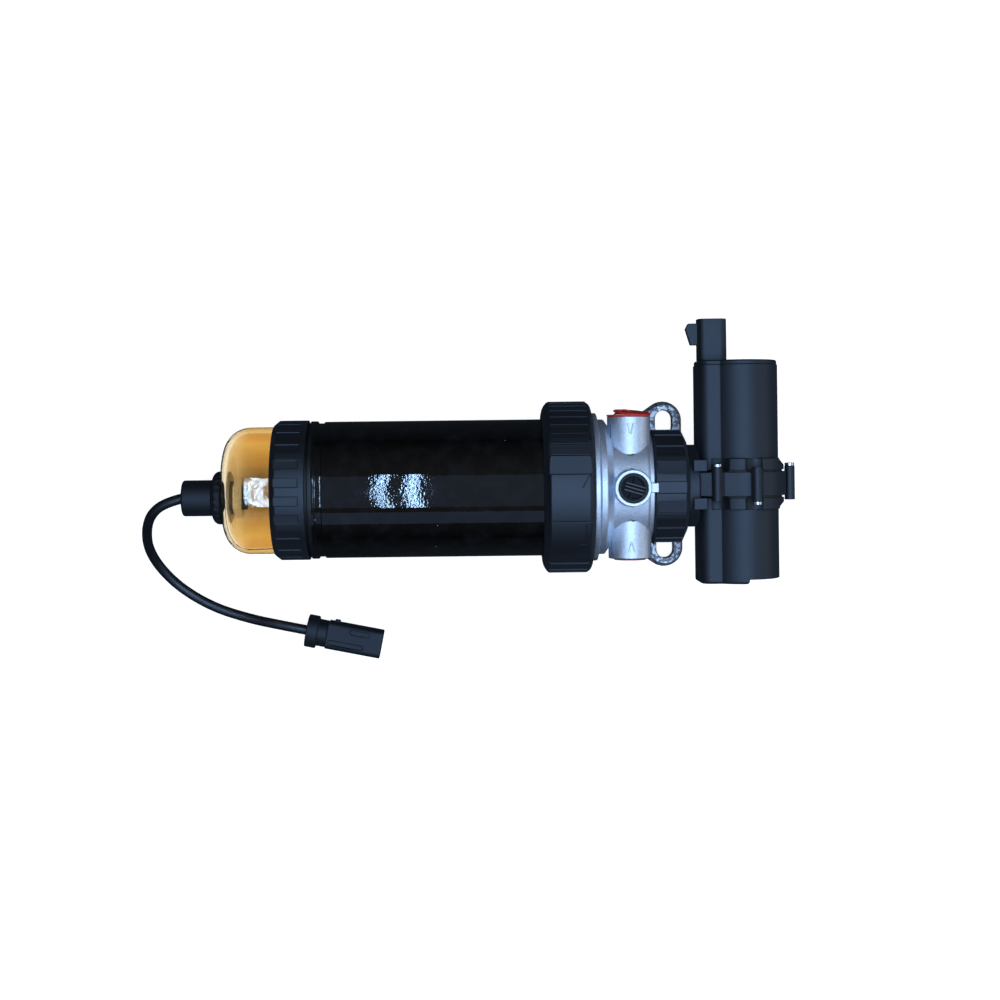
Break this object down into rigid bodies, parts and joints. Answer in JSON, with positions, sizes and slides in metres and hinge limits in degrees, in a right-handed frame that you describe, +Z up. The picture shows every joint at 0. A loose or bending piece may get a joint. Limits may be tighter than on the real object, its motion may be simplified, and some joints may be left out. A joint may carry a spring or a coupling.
{
  "type": "fuel pump and filter assembly",
  "caption": "Fuel filter with a see-through bowl, cast head with capped ports and slotted ears, and an electric pump on its end, lying on its pad with a sensor cable and plug.",
  "frame": {"origin": "middle of the two bracket slots, on the pad's flat face", "axes": "+X along the filter axis from the bowl to the pump, +Y across it through both slots, +Z up from the pad's face"},
  "size_m": [0.4125, 0.2145, 0.1078],
  "materials": {
    "cast_aluminium": "cast",
    "black_paint": "gloss",
    "black_plastic": "satin",
    "amber_plastic": "see-through",
    "seal_rubber": "matt",
    "red_plastic": "satin",
    "plated_steel": "bright",
    "brass": "bright",
    "copper": "bright",
    "filter_paper": "matt",
    "ferrite": "matt",
    "white_plastic": "matt"
  },
  "bodies": {
    "assembly": {"filter_head": "cast_aluminium", "element_canister": "black_paint", "element_seal": "seal_rubber", "media_bottom_cap": "white_plastic", "media_top_cap": "white_plastic", "filter_media": "filter_paper", "centre_tube": "white_plastic", "spigot_grommet": "seal_rubber", "bowl": "amber_plastic", "bowl_seal": "seal_rubber", "sensor_body": "black_plastic", "sensor_seal": "seal_rubber", "sensor_nut": "brass", "sensor_probes": "brass", "vent_plug_seal": "seal_rubber", "neck_seal": "seal_rubber", "pump_manifold": "black_plastic", "pump_upper_housing": "black_plastic", "pump_lower_housing": "black_plastic", "housing_gaskets": "seal_rubber", "pump_screws": "plated_steel", "pump_end_cap": "black_plastic", "power_terminals": "brass", "lower_port_plate": "plated_steel", "chamber_ring": "plated_steel", "upper_port_plate": "plated_steel", "flux_ring": "plated_steel", "magnets": "ferrite", "shaft_bushes": "brass", "brush_plate": "black_plastic", "brushes": "ferrite", "sensor_cable": "black_plastic", "connector_backshell": "black_plastic", "connector_body": "black_plastic", "connector_pins": "brass"},
    "collar": {"element_collar": "black_plastic"},
    "bowl_ring": {"bowl_ring": "black_plastic"},
    "pump_nut": {"pump_ring_nut": "black_plastic"},
    "drain_wheel": {"drain_wheel": "black_plastic"},
    "vent_plug": {"vent_plug": "black_plastic"},
    "left_cap": {"port_cap_left": "red_plastic"},
    "right_cap": {"port_cap_right": "red_plastic"},
    "rotor": {"motor_shaft": "plated_steel", "armature": "plated_steel", "commutator": "copper", "impeller": "brass"}
  },
  "joints": [
    {"name": "collar_turn", "type": "hinge", "parent": "assembly", "child": "collar", "pos_m": [-0.066, 0, 0.0545], "axis": [1, 0, 0], "range_deg": [-45, 0]},
    {"name": "bowl_ring_turn", "type": "hinge", "parent": "assembly", "child": "bowl_ring", "pos_m": [-0.237, 0, 0.0545], "axis": [1, 0, 0], "range_deg": [-90, 0]},
    {"name": "pump_nut_turn", "type": "hinge", "parent": "assembly", "child": "pump_nut", "pos_m": [-0.003, 0, 0.0545], "axis": [1, 0, 0], "range_deg": [0, 90]},
    {"name": "drain_wheel_turn", "type": "hinge", "parent": "assembly", "child": "drain_wheel", "pos_m": [-0.283, -0.0043, 0.0545], "axis": [1, 0, 0], "range_deg": [0, 90]},
    {"name": "vent_plug_turn", "type": "hinge", "parent": "assembly", "child": "vent_plug", "pos_m": [-0.0282, 0, 0.0945], "axis": [0, 0, 1], "range_deg": [0, 90]},
    {"name": "left_cap_pull", "type": "slide", "parent": "assembly", "child": "left_cap", "axis": [0, 1, 0], "range_m": [0, 0.012]},
    {"name": "right_cap_pull", "type": "slide", "parent": "assembly", "child": "right_cap", "axis": [0, -1, 0], "range_m": [0, 0.012]},
    {"name": "motor_spin", "type": "hinge", "parent": "assembly", "child": "rotor", "pos_m": [0.043, 0, 0.0545], "axis": [0, 1, 0], "continuous": true}
  ]
}
